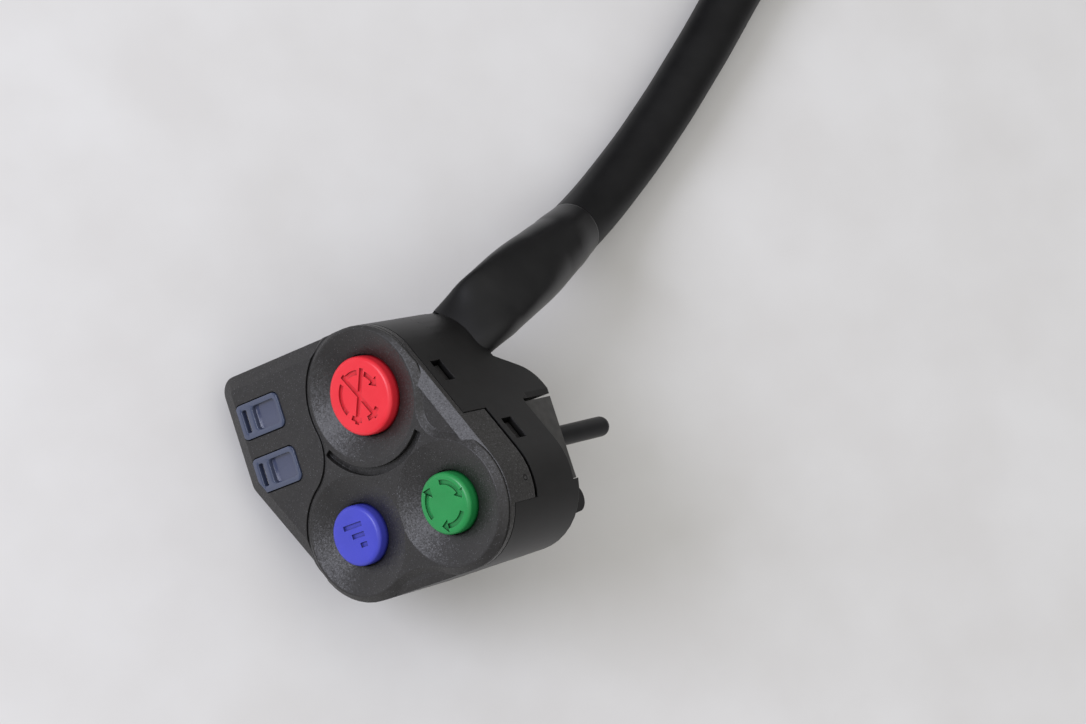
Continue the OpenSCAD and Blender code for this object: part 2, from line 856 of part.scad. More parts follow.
module traction_cap() {
  color([0.1, 0.6, 0.3]) place() difference() {
    cap(2);
    traction_sign();
  }
}

module stop_clip() {
  color("silver") place() clip(0);
}

module mode_clip() {
  color("silver") place() clip(1);
}

module traction_clip() {
  color("silver") place() clip(2);
}

module stop_spring() {
  color("silver") place() spring(0);
}

module mode_spring() {
  color("silver") place() spring(1);
}

module traction_spring() {
  color("silver") place() spring(2);
}

module stop_switch() {
  color([0.1, 0.1, 0.1]) place() switch(0);
}

module mode_switch() {
  color([0.1, 0.1, 0.1]) place() switch(1);
}

module traction_switch() {
  color([0.1, 0.1, 0.1]) place() switch(2);
}

// Wiper rings in the guide grooves
module button_seals() {
  color([0.05, 0.05, 0.05]) place() for (i = [0 : 2])
    translate([button_at[i].x, button_at[i].y, seal_z + seat_gap]) difference() {
      cylinder(h = seal_h - 2 * seat_gap, r = cap_r[i] + cap_gap + seal_depth - seat_gap);
      translate([0, 0, -lap]) cylinder(h = seal_h + 2 * lap, r = cap_r[i] + seal_gap);
    }
}

module circuit_board() {
  color([0.05, 0.35, 0.2]) place() slab(board_z, board_z + board_t) difference() {
    body_outline(board_inset);
    for (p = post_at) translate(p) circle(r = board_screw_r + 2 * slip);
    translate([screw_at[2].x, screw_at[2].y]) circle(r = screw_post_r + 1);
    translate([stud_reach, stud_off]) circle(r = stud_head_r + 4 * slip);
  }
}

module board_screws() {
  color("silver") place() for (p = post_at) translate([p.x, p.y, 0]) {
    slab(board_screw_z, board_z + board_t + lap) circle(r = board_screw_r);
    slab(board_z + board_t, board_z + board_t + board_head_h) circle(r = board_head_r);
  }
}

// Lens outline, cut off where the wing's edge comes close
module lens_shape(i, grow = 0) {
  intersection() {
    translate(lens_at[i]) rounded_rect(lens_l + 2 * grow, lens_w + 2 * grow, 1.2 + grow);
    outline(lens_inset - grow);
  }
}

module lens(i) {
  difference() {
    slab(part_z - 1.8, lens_top) lens_shape(i);
    translate(lens_at[i]) {
      slab(lens_top - window_h, lens_top + lap)
        translate([window_off, 0]) rounded_rect(window.x, window.y, 0.8);
      slab(lens_top - slot_h, lens_top + lap)
        translate([slot_off, 0]) rounded_rect(slot.x, slot.y, 0.4);
    }
  }
  slab(part_z - 0.9, part_z - 0.05) lens_shape(i, lens_flange);
}

module upper_lens() {
  color([0.4, 0.45, 0.55, 0.7]) place() lens(0);
}

module lower_lens() {
  color([0.4, 0.45, 0.55, 0.7]) place() lens(1);
}

module lamp_board() {
  color([0.05, 0.35, 0.2]) place() slab(wing_floor_z, wing_floor_z + lamp_board_t) intersection() {
    outline(wall_t + 0.4);
    translate([lens_x, lens_y + lens_pitch / 2])
      square([lamp_board_l, lens_pitch + lamp_board_run], center = true);
  }
}

module led(i) {
  z0 = wing_floor_z + lamp_board_t;
  slab(z0, z0 + led_h) translate(lens_at[i]) square(led_size, center = true);
}

module upper_led() {
  color("ivory") place() led(0);
}

module lower_led() {
  color("ivory") place() led(1);
}

// Half band round the bar, hooked on one side and with a tongue on the other
module bar_clamp() {
  color([0.5, 0.5, 0.5]) place() difference() {
    union() {
      rotate([90, 0, 0]) rotate([0, 0, 180])
        rotate_extrude(angle = 180, $fn = 96)
          translate([bore_r, -band_w / 2]) square([band_t, band_w]);
      translate([-band_ro, -band_w / 2, -lap])
        cube([band_t, band_w, tongue_top + lap - 0.6]);
      translate([hook_x - bridge_t + 0.4, -band_w / 2, hook_z + 0.2])
        cube([bridge_t, band_w, 2]);
      translate([bore_r, -band_w / 2, -lap]) cube([band_t, band_w, tongue_low + 2 * lap]);
      translate([bore_r, -band_w / 2, tongue_low]) cube([tongue_reach - bore_r, band_w, tongue_h]);
    }
    translate([stud_reach, stud_off, tongue_low - lap]) {
      cylinder(h = tongue_h + 2 * lap, d = stud_d + 3 * slip);
      cylinder(h = nut_sink + nut_t + seat_gap + lap, r = nut_af / sqrt(3) + slip);
    }
  }
}

// Stud with a head inside the case and a long plain tail with a round end
module clamp_stud() {
  r = stud_d / 2;
  tail_z = back_z - stud_tail;
  color([0.08, 0.08, 0.08]) place() translate([stud_reach, stud_off, 0]) {
    slab(tail_z + r, stud_boss_z + lap) circle(r = r);
    translate([0, 0, tail_z + r]) sphere(r = r);
    slab(stud_boss_z, stud_boss_z + stud_head_h) circle(r = stud_head_r);
  }
}

module clamp_nut() {
  color([0.25, 0.25, 0.26]) place() translate([stud_reach, stud_off, 0])
    slab(tongue_low + nut_sink, tongue_low + nut_sink + nut_t) difference() {
      circle(r = nut_af / sqrt(3), $fn = 6);
      circle(d = stud_d + 2 * nut_fit);
    }
}

// Boot: flat under the foot of the case, along its arc, then round where it grips the lead
module cable_boot() {
  last = len(boot_route) - 1;
  sides = 32;
  end_r = lead_r + boot_wall;
  seat_dir = unit(boot_route[last] - boot_route[boot_round_at]);
  seat_over = 0.2;
  seat_from = boot_route[boot_round_at] - seat_over * seat_dir;
  seat_to = boot_route[last] + lead_r * seat_dir;
  color([0.09, 0.09, 0.1]) place() difference() {
    polyhedron(
      points = [for (i = [0 : last])
        let (
          f = min(1, i / boot_round_at),
          a = boot_turn * max(0, 1 - 4 * f),
          half_t = boot_t / 2 + (end_r - boot_t / 2) * f,
          half_w = boot_w / 2 + (end_r - boot_w / 2) * f + boot_swell * sin(180 * f)
        )
        each section(boot_route[i], i == 0 ? [0, 0, -1] : heading(boot_route, i),
          [-sin(a), cos(a), 0], half_t, half_w, sides)],
      faces = skin(last + 1, sides)
    );
    tube(boot_bore, boot_bore_r, 12, [0, 1, 0]);
    rod(seat_from, seat_to, lead_r + 2 * slip);
  }
}

module wire_leads() {
  color([0.15, 0.15, 0.2]) place() tube(wire_route, wire_r, 8, [1, 0, 0]);
}

module cable_sleeve() {
  color([0.09, 0.09, 0.1]) tube(sleeve_path, lead_r, 12);
}

module cable_coil() {
  color([0.09, 0.09, 0.1]) tube(coil_path, lead_r, 6);
}

// Band tie round the two strands of the coil
module coil_tie() {
  a = coil_from + 360 * tie_turn;
  ro = coil_r(tie_turn) + lead_r + tie_gap;
  ri = coil_r(tie_turn + 1) - lead_r - tie_gap;
  h = lead_d + 0.1;
  color([0.04, 0.04, 0.04]) translate([coil_at.x, coil_at.y, coil_z]) rotate([0, 0, a]) difference() {
    translate([ri - tie_t, -tie_w / 2, -h / 2 - tie_t]) cube([ro - ri + 2 * tie_t, tie_w, h + 2 * tie_t]);
    translate([ri, -tie_w, -h / 2]) cube([ro - ri, 2 * tie_w, h]);
  }
}

module at_lead_end() {
  translate(coil_end) rotate([0, 0, atan2(coil_end_dir.y, coil_end_dir.x)]) children();
}

module connector_seal() {
  taper = 0.8;
  color([0.2, 0.2, 0.2]) at_lead_end()
    rotate([0, 90, 0]) cylinder(h = seal_l, r1 = lead_r, r2 = lead_r - taper);
}

module connector_body() {
  color([0.12, 0.12, 0.13]) at_lead_end() difference() {
    union() {
      translate([seal_l, -plug_w / 2, -plug_h / 2]) cube([plug_l, plug_w, plug_h]);
      translate([seal_l + latch_from, -latch.y / 2, plug_h / 2 - lap]) cube(latch);
      translate([seal_l + collar_from, -plug_w / 2 - collar.y, -plug_h / 2])
        cube([collar.x, plug_w + 2 * collar.y, plug_h]);
    }
    for (p = pin_at)
      translate([seal_l + plug_l - pin_l - 1, p.x - pin_hole.x / 2, p.y - pin_hole.y / 2])
        cube([pin_l + 2, pin_hole.x, pin_hole.y]);
  }
}

module connector_terminals() {
  color([0.7, 0.6, 0.3]) at_lead_end() for (p = pin_at)
    translate([seal_l + plug_l - pin_l - 1, p.x - pin_size.x / 2, p.y - pin_size.y / 2])
      cube([pin_l, pin_size.x, pin_size.y]);
}

front_case();
rear_case();
case_gasket();
case_screws();
stop_cap();
mode_cap();
traction_cap();
stop_clip();
mode_clip();
traction_clip();
stop_spring();
mode_spring();
traction_spring();
stop_switch();
mode_switch();
traction_switch();
button_seals();
circuit_board();
board_screws();
upper_lens();
lower_lens();
lamp_board();
upper_led();
lower_led();
bar_clamp();
clamp_stud();
clamp_nut();
cable_boot();
wire_leads();
cable_sleeve();
cable_coil();
coil_tie();
connector_seal();
connector_body();
connector_terminals();
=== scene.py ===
import json
import math

import bpy
from mathutils import Matrix, Vector


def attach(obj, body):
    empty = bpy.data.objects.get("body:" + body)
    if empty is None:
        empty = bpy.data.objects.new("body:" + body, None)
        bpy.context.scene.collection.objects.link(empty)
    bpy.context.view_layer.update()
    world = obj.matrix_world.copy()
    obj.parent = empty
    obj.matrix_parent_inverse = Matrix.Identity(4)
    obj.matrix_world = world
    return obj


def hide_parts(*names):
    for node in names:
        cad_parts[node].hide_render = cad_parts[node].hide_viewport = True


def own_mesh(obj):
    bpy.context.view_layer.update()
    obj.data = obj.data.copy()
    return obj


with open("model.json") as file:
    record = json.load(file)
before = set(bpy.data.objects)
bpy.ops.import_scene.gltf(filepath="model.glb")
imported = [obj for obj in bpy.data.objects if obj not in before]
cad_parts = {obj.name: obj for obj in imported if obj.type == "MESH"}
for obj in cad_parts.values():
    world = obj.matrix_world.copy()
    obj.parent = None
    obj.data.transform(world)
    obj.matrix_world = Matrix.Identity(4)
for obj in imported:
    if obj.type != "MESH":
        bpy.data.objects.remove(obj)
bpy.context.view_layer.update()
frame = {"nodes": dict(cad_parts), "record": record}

MM = 0.001
NODES = frame["nodes"]

# The pod leans about the handlebar axis until its lamp wing meets the table.
REST_LEAN = math.radians(54.544)
POD = Matrix.Rotation(-REST_LEAN, 4, "Y")
TABLE_Z = -13.65 * MM
TABLE_HALF = 3

# Camera, from the photograph's perspective
CAMERA_AT = Vector((-144.95, -26.49, 470.62)) * MM
CAMERA_TURN = [math.radians(a) for a in (10.628, -16.491, -18.783)]
CAMERA_LENS = 86.19
SENSOR_W = 36

# Light: a small window to the left, and a soft dome that fades toward the horizon
WINDOW_AT = Vector((-0.75, 0.3, 0.62))
WINDOW_AIM = Vector((0, 0.02, 0))
WINDOW_SIZE = 0.52
WINDOW_WATTS = 5.4
WINDOW_COLOUR = (0.95, 0.97, 1.12)
DOME_COLOUR = (1, 0.99, 0.975, 1)
DOME_LOW = 0.09
DOME_HIGH = 0.98

# The lead: its radius, and in millimetres its route on the table and then the put-away coil
LEAD_R = 5.6 * MM
LEAD_Z = -8.05
LEAD_ROUTE = [
    (25.7, 36.4, 1.3), (32, 39.4, -2.6), (38.5, 42.9, -5.5),
    (45.5, 47.3, -7.3), (53, 52.5, LEAD_Z), (57.8, 56.2, LEAD_Z), (62.8, 60.2, LEAD_Z),
    (67.5, 64.2, LEAD_Z), (72.3, 68.3, LEAD_Z), (77, 72.5, LEAD_Z), (81.6, 76.7, LEAD_Z),
    (89, 83.3, LEAD_Z + 0.2), (96, 89.5, LEAD_Z + 0.6), (103, 95.7, LEAD_Z + 1.1),
]
COIL_AT = (76.5, 163)
COIL_Z = LEAD_Z + 1.1
COIL_R = 68
COIL_STEP = 12.4
COIL_FROM = -48.6
COIL_TURNS = 1.2
COIL_DRAW = 9
COIL_DRAW_FROM = 0.85
COIL_POINTS = 30
COIL_NEAR = 0.001
COIL_ENDS = 2 * LEAD_R / MM

# The boot, in millimetres in the pod's own frame: its middle line, and its half sizes at the case
BOOT_ROUTE = [
    (10.1, 23.26, 9.68), (13.5, 25.9, 6.2), (14.9, 27.9, 2.5), (15.5, 29.6, -1.3), (15.8, 31.1, -5.2),
    (16, 32.4, -9), (16, 33.6, -12.6), (16, 35, -16.4), (16, 36.4, -20.2), (16.2, 37.9, -23.9),
    (16.4, 39.3, -27.4),
]
BOOT_HALF_T = 2.6
BOOT_HALF_W = 6.2
# Route point from which it is round, its wall there, and where and how far that wall thins to its end
BOOT_ROUND_AT = 8
BOOT_WALL = 0.6
BOOT_FADE = 0.82
BOOT_END_WALL = 0.08
BOOT_LIP = ((-0.03, 0.06), (-0.07, 0.09))
# Its turn at the case and how fast it ends, its swollen middle, its skewed and flared mouth, its crest
BOOT_TURN = math.radians(35)
BOOT_UNTURN = 4
BOOT_SWELL = 0.9
BOOT_SKEW = 2.4
BOOT_FLARE = 1.5
BOOT_CREST = 0.9
BOOT_CREST_AT = math.radians(25)
BOOT_CREST_RUN = 1.2
BOOT_CREST_SHARP = 8
BOOT_NEAR = 0.01
BOOT_RINGS = 64
BOOT_SIDES = 48

# Flakes in the face's moulding: their pitch, their lean and the colour of the bright ones, a painted glint
SPARK_PITCH = 0.22 * MM
SPARK_LEAN = 0.19
SPARK_GLINT_COLOUR = (0.2, 0.2, 0.215, 1)

# Level of the lenses' tops in the pod's own frame, and their depth
LENS_TOP = 31.9 * MM
LENS_DEPTH = 1.3 * MM

# Radius of the rounded edges of the mouldings and the caps, and how far painted shade reaches into their grooves
# and gaps
EDGE = 0.25 * MM
CAP_EDGE = 0.12 * MM
GROOVE_SHADE_REACH = 1.5 * MM
CAP_GROOVE_SHADE_REACH = 0.9 * MM

# How near points are joined; edges sharper than these angles, in degrees, are shaded as edges
WELD = 0.002 * MM
SHADE_ANGLE = 38
CRISP_ANGLE = 12

# Edges of simple pieces that are rounded, with their widths in millimetres
EDGE_ROUNDS = {"coil_tie": 0.2, "connector_body": 0.3, "clamp_nut": 0.2, "upper_lens": 0.3, "lower_lens": 0.3}
ROUND_ANGLE = 30
ROUND_STEPS = 2
CRISP = ("front_case", "rear_case", "bar_clamp")


def link(obj):
    """Puts an object in the scene and returns it."""
    bpy.context.scene.collection.objects.link(obj)
    return obj


# Materials

def shader(name, rough, **inputs):
    """New material; returns it with its node tree and its main shader."""
    mat = bpy.data.materials.new(name)
    mat.use_nodes = True
    tree = mat.node_tree
    bsdf = tree.nodes["Principled BSDF"]
    bsdf.inputs["Roughness"].default_value = rough
    for key, value in inputs.items():
        bsdf.inputs[key.replace("_", " ")].default_value = value
    return mat, tree, bsdf


def node(tree, kind, inputs=None, **props):
    """New node, whose inputs are values or other nodes' outputs."""
    n = tree.nodes.new(kind)
    for key, value in props.items():
        setattr(n, key, value)
    for key, value in (inputs or {}).items():
        if isinstance(value, bpy.types.NodeSocket):
            tree.links.new(value, n.inputs[key])
        else:
            n.inputs[key].default_value = value
    return n


def coords(tree):
    """Place on the object, in metres."""
    return node(tree, "ShaderNodeTexCoord").outputs["Object"]


def ramp(tree, value, stops):
    """Colour that follows a value through stops of position and colour."""
    n = node(tree, "ShaderNodeValToRGB", {"Fac": value})
    elements = n.color_ramp.elements
    first, *middle, last = stops
    for i, (at, colour) in enumerate((first, last)):
        elements[i].position = at
        elements[i].color = (*colour, 1)
    for at, colour in middle:
        elements.new(at).color = (*colour, 1)
    return n.outputs["Color"]


def grain(tree, bsdf, size, strength, depth, edge=0, tilt=None):
    """Fine moulded grain of a size in metres, on rounded edges of a radius, with tilted flakes if given."""
    noise = node(tree, "ShaderNodeTexNoise",
                 {"Vector": coords(tree), "Scale": 1 / size, "Detail": 3.0, "Roughness": 0.6})
    bump = node(tree, "ShaderNodeBump",
                {"Height": noise.outputs["Fac"], "Strength": strength, "Distance": depth})
    normal = None
    if edge:
        normal = node(tree, "ShaderNodeBevel", {"Radius": edge}, samples=6).outputs["Normal"]
    if tilt:
        leaning = node(tree, "ShaderNodeVectorMath", {0: tilt, 1: normal}, operation="ADD")
        normal = node(tree, "ShaderNodeVectorMath", {0: leaning.outputs[0]}, operation="NORMALIZE").outputs[0]
    if normal:
        tree.links.new(normal, bump.inputs["Normal"])
    tree.links.new(bump.outputs["Normal"], bsdf.inputs["Normal"])


def mottle(tree, bsdf, size, dark, light):
    """Slow change of colour over the surface; returns the colour."""
    noise = node(tree, "ShaderNodeTexNoise",
                 {"Vector": coords(tree), "Scale": 1 / size, "Detail": 4.0})
    colour = ramp(tree, noise.outputs["Fac"], ((0.35, dark), (0.68, light)))
    tree.links.new(colour, bsdf.inputs["Base Color"])
    return colour


def painted_crevice_shade(tree, colour, reach):
    """The colour with painted shade: darker in grooves and gaps no wider than the reach."""
    # Painted shade: ambient occlusion darkens the colour in grooves and gaps
    gaps = node(tree, "ShaderNodeAmbientOcclusion", {"Distance": reach}, samples=8)
    depth = node(tree, "ShaderNodeMapRange",
                 {"Value": gaps.outputs["AO"], "From Min": 0.35, "From Max": 0.9, "To Min": 0.35, "To Max": 1.0})
    mix = node(tree, "ShaderNodeMix",
               {"Factor": depth.outputs[0], 6: (0, 0, 0, 1), 7: colour}, data_type="RGBA")
    return mix.outputs[2]


def spark_plastic():
    """Black moulding whose skin has tiny flakes, each leaning its own way, a few of them painted bright as
    glints.
    """
    mat, tree, bsdf = shader("spark_plastic", 0.42)
    base = mottle(tree, bsdf, 4 * MM, (0.017, 0.016, 0.0155), (0.021, 0.02, 0.019))
    cells = node(tree, "ShaderNodeTexVoronoi", {"Vector": coords(tree), "Scale": 1 / SPARK_PITCH})
    near = node(tree, "ShaderNodeMapRange",
                {"Value": cells.outputs["Distance"], "From Min": 0.34, "From Max": 0.1})
    split = node(tree, "ShaderNodeSeparateColor", {"Color": cells.outputs["Color"]})
    rare = node(tree, "ShaderNodeMapRange",
                {"Value": split.outputs["Red"], "From Min": 0.72, "From Max": 1.0})
    # Bright specks: real flakes given a lighter colour as painted glints
    glint_speck = node(tree, "ShaderNodeMath", {0: near.outputs[0], 1: rare.outputs[0]}, operation="MULTIPLY")
    mix = node(tree, "ShaderNodeMix",
               {"Factor": glint_speck.outputs[0], 6: base, 7: SPARK_GLINT_COLOUR}, data_type="RGBA")
    # Painted shade: the colour darkens in grooves and gaps
    tree.links.new(painted_crevice_shade(tree, mix.outputs[2], GROOVE_SHADE_REACH), bsdf.inputs["Base Color"])
    lean = node(tree, "ShaderNodeVectorMath",
                {0: cells.outputs["Color"], 1: (0.5, 0.5, 0.5)}, operation="SUBTRACT")
    tilt = node(tree, "ShaderNodeVectorMath", {0: lean.outputs[0], "Scale": SPARK_LEAN}, operation="SCALE")
    grain(tree, bsdf, 0.22 * MM, 0.4, 0.03 * MM, EDGE, tilt.outputs[0])
    return mat


def plain_plastic(name, dark, light, rough, size=0.3 * MM, shine=0.5, edge=0, reach=0):
    """Plain moulding or rubber, with grain of a size, and rounded edges and painted shade in grooves if given.
    """
    mat, tree, bsdf = shader(name, rough, Specular_IOR_Level=shine)
    base = mottle(tree, bsdf, 5 * MM, dark, light)
    # Painted shade in grooves and gaps within the reach
    if reach:
        tree.links.new(painted_crevice_shade(tree, base, reach), bsdf.inputs["Base Color"])
    grain(tree, bsdf, size, 0.25, 0.02 * MM, edge)
    return mat


# Caps, with painted shade in their engraved grooves
def cap_plastic(name, dark, light):
    return plain_plastic(name, dark, light, 0.36, edge=CAP_EDGE, reach=CAP_GROOVE_SHADE_REACH)


def metal(name, dark, light, rough, metallic=1.0):
    mat, tree, bsdf = shader(name, rough, Metallic=metallic)
    mottle(tree, bsdf, 1.5 * MM, dark, light)
    grain(tree, bsdf, 0.2 * MM, 0.3, 0.02 * MM)
    return mat


def smoke_lens():
    """Smoked lens coloured by depth in the pod: blue rim and sunk panel, with painted shade on the sunk walls
    and a near-black painted shadow in the slot.
    """
    mat, tree, bsdf = shader("smoke_lens", 0.2, Coat_Weight=0.5, Coat_Roughness=0.08)
    turned = node(tree, "ShaderNodeMapping", {"Vector": coords(tree), "Rotation": (0, REST_LEAN, 0)})
    place = node(tree, "ShaderNodeSeparateXYZ", {0: turned.outputs[0]})
    level = node(tree, "ShaderNodeMapRange",
                 {"Value": place.outputs["Z"], "From Min": LENS_TOP - LENS_DEPTH, "From Max": LENS_TOP})
    # Painted shade: the slot is near black and the sunk walls are darker
    slot_shadow = (0.12, (0.008, 0.009, 0.012))
    panel = (0.2, (0.052, 0.063, 0.118))
    wall_shade = (0.45, (0.032, 0.04, 0.075))
    rim = (1.0, (0.052, 0.066, 0.115))
    colour = ramp(tree, level.outputs[0], (slot_shadow, panel, wall_shade, rim))
    tree.links.new(colour, bsdf.inputs["Base Color"])
    grain(tree, bsdf, 0.8 * MM, 0.06, 0.02 * MM, EDGE)
    return mat


SPARK = spark_plastic()
# Sides of the case, with painted shade in their gaps
SIDE = plain_plastic("side_plastic", (0.006, 0.0058, 0.0058), (0.009, 0.0087, 0.0085), 0.42, shine=0.3,
                     edge=EDGE, reach=GROOVE_SHADE_REACH)
RED = cap_plastic("red_cap", (0.8, 0.019, 0.034), (0.84, 0.026, 0.042))
BLUE = cap_plastic("blue_cap", (0.05, 0.058, 0.48), (0.056, 0.064, 0.53))
GREEN = cap_plastic("green_cap", (0.011, 0.25, 0.058), (0.015, 0.28, 0.068))
RUBBER = plain_plastic("boot_rubber", (0.0035, 0.0035, 0.004), (0.006, 0.006, 0.0065), 0.32, 0.6 * MM,
                       shine=0.32)
SLEEVE = plain_plastic("lead_sleeve", (0.004, 0.004, 0.0045), (0.007, 0.007, 0.0075), 0.45, 0.8 * MM,
                       shine=0.2)
SEAL = plain_plastic("seal_rubber", (0.008, 0.008, 0.008), (0.014, 0.014, 0.014), 0.6)
BOARD = plain_plastic("board", (0.01, 0.09, 0.045), (0.02, 0.13, 0.06), 0.35)
LED = plain_plastic("led_resin", (0.7, 0.66, 0.5), (0.85, 0.82, 0.7), 0.25)
PLUG = plain_plastic("plug_plastic", (0.012, 0.012, 0.012), (0.02, 0.02, 0.02), 0.5)
BLACK_STEEL = plain_plastic("black_steel", (0.004, 0.004, 0.005), (0.007, 0.007, 0.008), 0.34, shine=0.15)
STEEL = metal("steel", (0.45, 0.45, 0.46), (0.62, 0.62, 0.63), 0.35)
CAST = metal("blasted_alloy", (0.05, 0.049, 0.048), (0.068, 0.066, 0.064), 0.55, 0.15)
BRASS = metal("brass", (0.6, 0.42, 0.16), (0.75, 0.56, 0.25), 0.3)
LENS = smoke_lens()

LOOKS = {
    "front_case": SPARK, "rear_case": SIDE, "case_gasket": SEAL, "case_screws": STEEL,
    "stop_cap": RED, "mode_cap": BLUE, "traction_cap": GREEN,
    "stop_clip": STEEL, "mode_clip": STEEL, "traction_clip": STEEL,
    "stop_spring": STEEL, "mode_spring": STEEL, "traction_spring": STEEL,
    "stop_switch": PLUG, "mode_switch": PLUG, "traction_switch": PLUG,
    "button_seals": SEAL, "circuit_board": BOARD, "board_screws": STEEL,
    "upper_lens": LENS, "lower_lens": LENS, "lamp_board": BOARD,
    "upper_led": LED, "lower_led": LED,
    "bar_clamp": CAST, "clamp_stud": BLACK_STEEL, "clamp_nut": BLACK_STEEL,
    "cable_boot": RUBBER, "wire_leads": PLUG, "cable_sleeve": SLEEVE, "cable_coil": SLEEVE,
    "coil_tie": PLUG, "connector_seal": SEAL, "connector_body": PLUG,
    "connector_terminals": BRASS,
}
for name, mat in LOOKS.items():
    mesh = NODES[name].data
    mesh.materials.clear()
    mesh.materials.append(mat)


# Edges and shading of the solids

def shade_group(limit):
    """Geometry nodes that shade smooth, apart from edges sharper than the limit in degrees."""
    tree = bpy.data.node_groups.new("smooth_shade", "GeometryNodeTree")
    for way in ("INPUT", "OUTPUT"):
        tree.interface.new_socket("Geometry", in_out=way, socket_type="NodeSocketGeometry")
    source = node(tree, "NodeGroupInput")
    faces = node(tree, "GeometryNodeSetShadeSmooth", {"Geometry": source.outputs[0]}, domain="FACE")
    angle = node(tree, "GeometryNodeInputMeshEdgeAngle")
    sharp = node(tree, "FunctionNodeCompare",
                 {0: angle.outputs["Unsigned Angle"], 1: math.radians(limit)}, operation="GREATER_THAN")
    edges = node(tree, "GeometryNodeSetShadeSmooth",
                 {"Geometry": faces.outputs[0], "Selection": sharp.outputs[0], "Shade Smooth": False},
                 domain="EDGE")
    node(tree, "NodeGroupOutput", {0: edges.outputs[0]})
    return tree


SHADE = shade_group(SHADE_ANGLE)
CRISP_SHADE = shade_group(CRISP_ANGLE)


def weld(obj):
    """Joins the edges of a piece's faces, so that it can be rounded and shaded as one skin."""
    obj.modifiers.new("weld", "WELD").merge_threshold = WELD


def shade(obj, group=SHADE):
    obj.modifiers.new("smooth", "NODES").node_group = group


def soften(obj, width):
    """Rounds the edges of a simple piece."""
    bevel = obj.modifiers.new("edges", "BEVEL")
    bevel.width = width
    bevel.segments = ROUND_STEPS
    bevel.limit_method = "ANGLE"
    bevel.angle_limit = math.radians(ROUND_ANGLE)


for name in LOOKS:
    weld(NODES[name])
    if name in EDGE_ROUNDS:
        soften(NODES[name], EDGE_ROUNDS[name] * MM)
    shade(NODES[name], CRISP_SHADE if name in CRISP else SHADE)


# The return springs, copied and fixed to the housing (the real ones shorten as their buttons go in)

def return_spring(joint):
    coil = joint["deforming_nodes"][0]["node"]
    obj = link(bpy.data.objects.new(coil.replace("spring", "return_spring"), NODES[coil].data.copy()))
    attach(obj, "housing")
    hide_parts(coil)
    weld(obj)
    shade(obj)
    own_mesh(obj)


for joint in frame["record"]["behaviour"]["joints"]:
    return_spring(joint)


# The boot

def route_point(route, t):
    """Point on a smooth curve through a route, at t from 0 to 1."""
    x = min(max(t, 0), 1) * (len(route) - 1)
    i = min(int(x), len(route) - 2)
    f = x - i
    a, b, c, d = (route[min(max(k, 0), len(route) - 1)] for k in (i - 1, i, i + 1, i + 2))
    return 0.5 * (2 * b + (c - a) * f + (2 * a - 5 * b + 4 * c - d) * f ** 2
                  + (3 * b - a - 3 * c + d) * f ** 3)


def boot_ring(route, t, grow=0):
    """Section of the boot: flat, turned and leaning to one side at the case, round at the lead."""
    mid = route_point(route, t)
    ahead = (route_point(route, t + BOOT_NEAR) - route_point(route, t - BOOT_NEAR)).normalized()
    if t == 0:
        ahead = Vector((0, 0, -1))
    f = min(1, t * (len(route) - 1) / BOOT_ROUND_AT)
    turn = BOOT_TURN * max(0, 1 - BOOT_UNTURN * f)
    out = ahead.cross(Vector((-math.sin(turn), math.cos(turn), 0))).normalized()
    along = out.cross(ahead)
    end = LEAD_R / MM + BOOT_WALL
    fade = max(0, t - BOOT_FADE) / (1 - BOOT_FADE)
    grow -= (BOOT_WALL - BOOT_END_WALL) * fade * fade * (3 - 2 * fade)
    half_t = BOOT_HALF_T + (end - BOOT_HALF_T) * f + grow
    half_w = BOOT_HALF_W + (end - BOOT_HALF_W) * f + BOOT_SWELL * math.sin(math.pi * f) + grow
    crest_h = BOOT_CREST * math.sin(math.pi * min(1, BOOT_CREST_RUN * f))
    ring = []
    for k in range(BOOT_SIDES):
        a = 2 * math.pi * k / BOOT_SIDES
        lean = BOOT_SKEW * (1 - f) * max(0, math.cos(a)) ** 2
        flare = BOOT_FLARE * (1 - f) ** 4 * max(0, math.sin(a))
        crest = crest_h * max(0, math.cos(a + BOOT_CREST_AT)) ** BOOT_CREST_SHARP
        rise = half_t * math.cos(a) + crest
        ring.append(mid + rise * out + (half_w * math.sin(a) - lean + flare) * along)
    return ring


def ring_mesh(name, rings):
    """Closed mesh through rings of points."""
    n = len(rings[0])
    verts = [p for ring in rings for p in ring]
    faces = [tuple(range(n - 1, -1, -1)), tuple(range(len(verts) - n, len(verts)))]
    for r in range(len(rings) - 1):
        for k in range(n):
            a, b = r * n + k, r * n + (k + 1) % n
            faces.append((a, b, b + n, a + n))
    mesh = bpy.data.meshes.new(name)
    mesh.from_pydata([POD @ (p * MM) for p in verts], [], faces)
    mesh.shade_smooth()
    return link(bpy.data.objects.new(name, mesh))


def boot():
    route = [Vector(p) for p in BOOT_ROUTE]
    rings = [boot_ring(route, i / BOOT_RINGS) for i in range(BOOT_RINGS + 1)]
    ahead = (route[-1] - route[-2]).normalized()
    for grow, step in BOOT_LIP:
        rings.append([p + step * ahead for p in boot_ring(route, 1, grow)])
    obj = ring_mesh("boot", rings)
    obj.data.materials.append(RUBBER)
    shade(obj)
    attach(obj, "housing")
    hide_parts("cable_boot")


boot()


# The lead

def coil_point(turn):
    """Point on the put-away coil, whose end is drawn in."""
    draw = max(0, turn - COIL_DRAW_FROM) / (COIL_TURNS - COIL_DRAW_FROM)
    r = COIL_R - COIL_STEP * turn - COIL_DRAW * draw ** 2
    a = math.radians(COIL_FROM + 360 * turn)
    return Vector((COIL_AT[0] + r * math.cos(a), COIL_AT[1] + r * math.sin(a), COIL_Z))


def coil_way(turn):
    return (coil_point(turn + COIL_NEAR) - coil_point(turn - COIL_NEAR)).normalized()


def lead_points():
    """The lead's middle line: its route, a straight run in, the coil and a straight end."""
    turns = [coil_point(COIL_TURNS * i / COIL_POINTS) for i in range(COIL_POINTS + 1)]
    start = turns[0] - COIL_ENDS * coil_way(0)
    end = turns[-1] + COIL_ENDS * coil_way(COIL_TURNS)
    return [Vector(p) * MM for p in LEAD_ROUTE + [start] + turns + [end]]


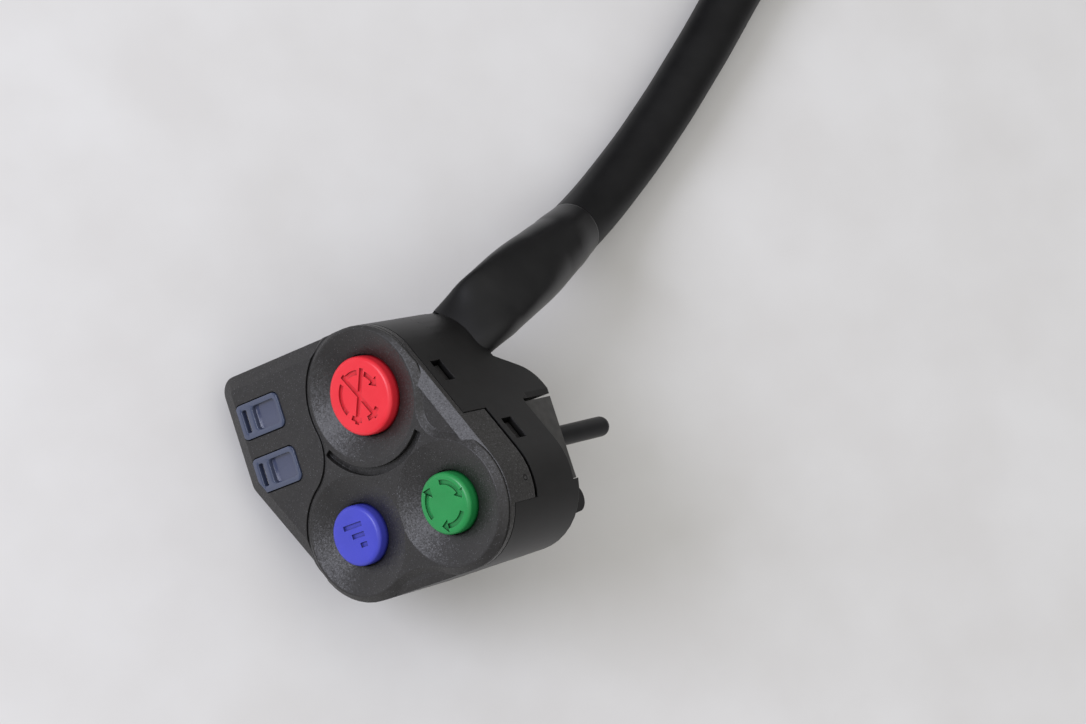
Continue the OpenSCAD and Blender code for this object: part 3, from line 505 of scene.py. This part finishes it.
def smooth_curve(name, points, radius):
    """Round tube on a smooth curve through points."""
    curve = bpy.data.curves.new(name, "CURVE")
    curve.dimensions = "3D"
    curve.bevel_depth = radius
    curve.bevel_resolution = 6
    curve.resolution_u = 5
    curve.use_fill_caps = True
    spline = curve.splines.new("BEZIER")
    spline.bezier_points.add(len(points) - 1)
    for knot, p in zip(spline.bezier_points, points):
        knot.co = p
        knot.handle_left_type = knot.handle_right_type = "AUTO"
    return link(bpy.data.objects.new(name, curve))


points = lead_points()
lead = smooth_curve("lead", points, LEAD_R)
lead.data.materials.append(SLEEVE)
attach(lead, "housing")
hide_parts("cable_sleeve", "cable_coil")


# Table, light and camera

def table():
    mesh = bpy.data.meshes.new("table")
    s = TABLE_HALF
    corners = [(-s, -s), (s, -s), (s, s), (-s, s)]
    mesh.from_pydata([(x, y, TABLE_Z) for x, y in corners], [], [(0, 1, 2, 3)])
    obj = link(bpy.data.objects.new("table", mesh))
    mat, tree, bsdf = shader("table_top", 0.55)
    mottle(tree, bsdf, 30 * MM, (0.7, 0.69, 0.675), (0.75, 0.745, 0.735))
    mesh.materials.append(mat)


def window():
    data = bpy.data.lights.new("window", "AREA")
    data.color = WINDOW_COLOUR
    data.shape = "DISK"
    data.size = WINDOW_SIZE
    data.energy = WINDOW_WATTS
    obj = link(bpy.data.objects.new("window", data))
    obj.location = WINDOW_AT
    obj.rotation_euler = (WINDOW_AIM - WINDOW_AT).to_track_quat("-Z", "Y").to_euler()


def dome():
    """Soft light from above, which fades toward the horizon."""
    world = bpy.data.worlds.new("studio")
    world.use_nodes = True
    tree = world.node_tree
    up = node(tree, "ShaderNodeSeparateXYZ", {0: node(tree, "ShaderNodeTexCoord").outputs["Generated"]})
    fade = node(tree, "ShaderNodeMapRange",
                {"Value": up.outputs["Z"], "To Min": DOME_LOW, "To Max": DOME_HIGH})
    back = tree.nodes["Background"]
    back.inputs["Color"].default_value = DOME_COLOUR
    tree.links.new(fade.outputs[0], back.inputs["Strength"])
    bpy.context.scene.world = world


def camera():
    data = bpy.data.cameras.new("camera")
    data.sensor_width = SENSOR_W
    data.lens = CAMERA_LENS
    obj = link(bpy.data.objects.new("camera", data))
    obj.location = CAMERA_AT
    obj.rotation_euler = CAMERA_TURN
    bpy.context.scene.camera = obj


table()
window()
dome()
camera()
bpy.context.scene.view_settings.view_transform = "Standard"
